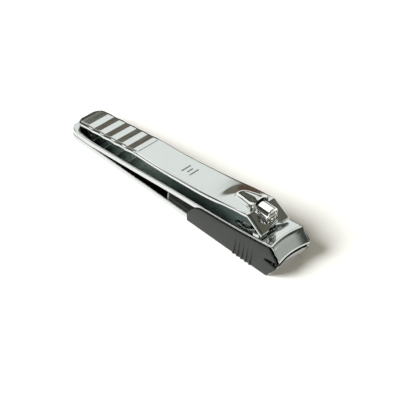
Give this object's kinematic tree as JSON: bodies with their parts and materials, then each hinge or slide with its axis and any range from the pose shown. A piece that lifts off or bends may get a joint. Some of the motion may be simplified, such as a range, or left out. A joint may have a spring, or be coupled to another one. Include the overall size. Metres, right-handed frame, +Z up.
{
  "type": "nail clipper",
  "caption": "Lever-type nail clipper folded for storage: chromed arms with hollow-ground jaws, ridged thumb lever hooked on a swivelling post, and a sliding dark plastic nail catcher.",
  "frame": {"origin": "on the post's axis, in the plane of the lower arm's flat underside, where the post's flush foot lies", "axes": "+X along the arms towards the cutting jaws, +Z up from the underside towards the lever, XZ is the plane of symmetry"},
  "size_m": [0.0814, 0.0154, 0.0171],
  "materials": {
    "chromed_steel": "mirror plated",
    "chromed_lever": "mirror plated",
    "polished_post": "polished",
    "grey_plastic": "satin moulded",
    "black_plastic": "satin moulded"
  },
  "bodies": {
    "lower_arm": {"lower_arm": "chromed_steel", "tail_rivet": "chromed_steel"},
    "upper_arm": {"upper_arm": "chromed_steel"},
    "post": {"post": "polished_post"},
    "lever": {"lever": "chromed_lever"},
    "catcher": {"catcher_tray": "black_plastic", "catcher_cheek_left": "grey_plastic", "catcher_cheek_right": "grey_plastic"}
  },
  "joints": [
    {"name": "jaw_squeeze", "type": "hinge", "parent": "lower_arm", "child": "upper_arm", "pos_m": [-0.0615, 0, 0.0016], "axis": [0, 1, 0], "range_deg": [0, 0.85], "stiffness_Nm_per_rad": 1.5},
    {"name": "post_swivel", "type": "hinge", "parent": "lower_arm", "child": "post", "pos_m": [0, 0, 0], "axis": [0, 0, 1], "continuous": true},
    {"name": "lever_lift", "type": "hinge", "parent": "post", "child": "lever", "pos_m": [0.002, 0, 0.011], "axis": [0, 1, 0], "range_deg": [0, 146]},
    {"name": "catcher_slide", "type": "slide", "parent": "lower_arm", "child": "catcher", "axis": [-1, 0, 0], "range_m": [0, 0.008]}
  ]
}
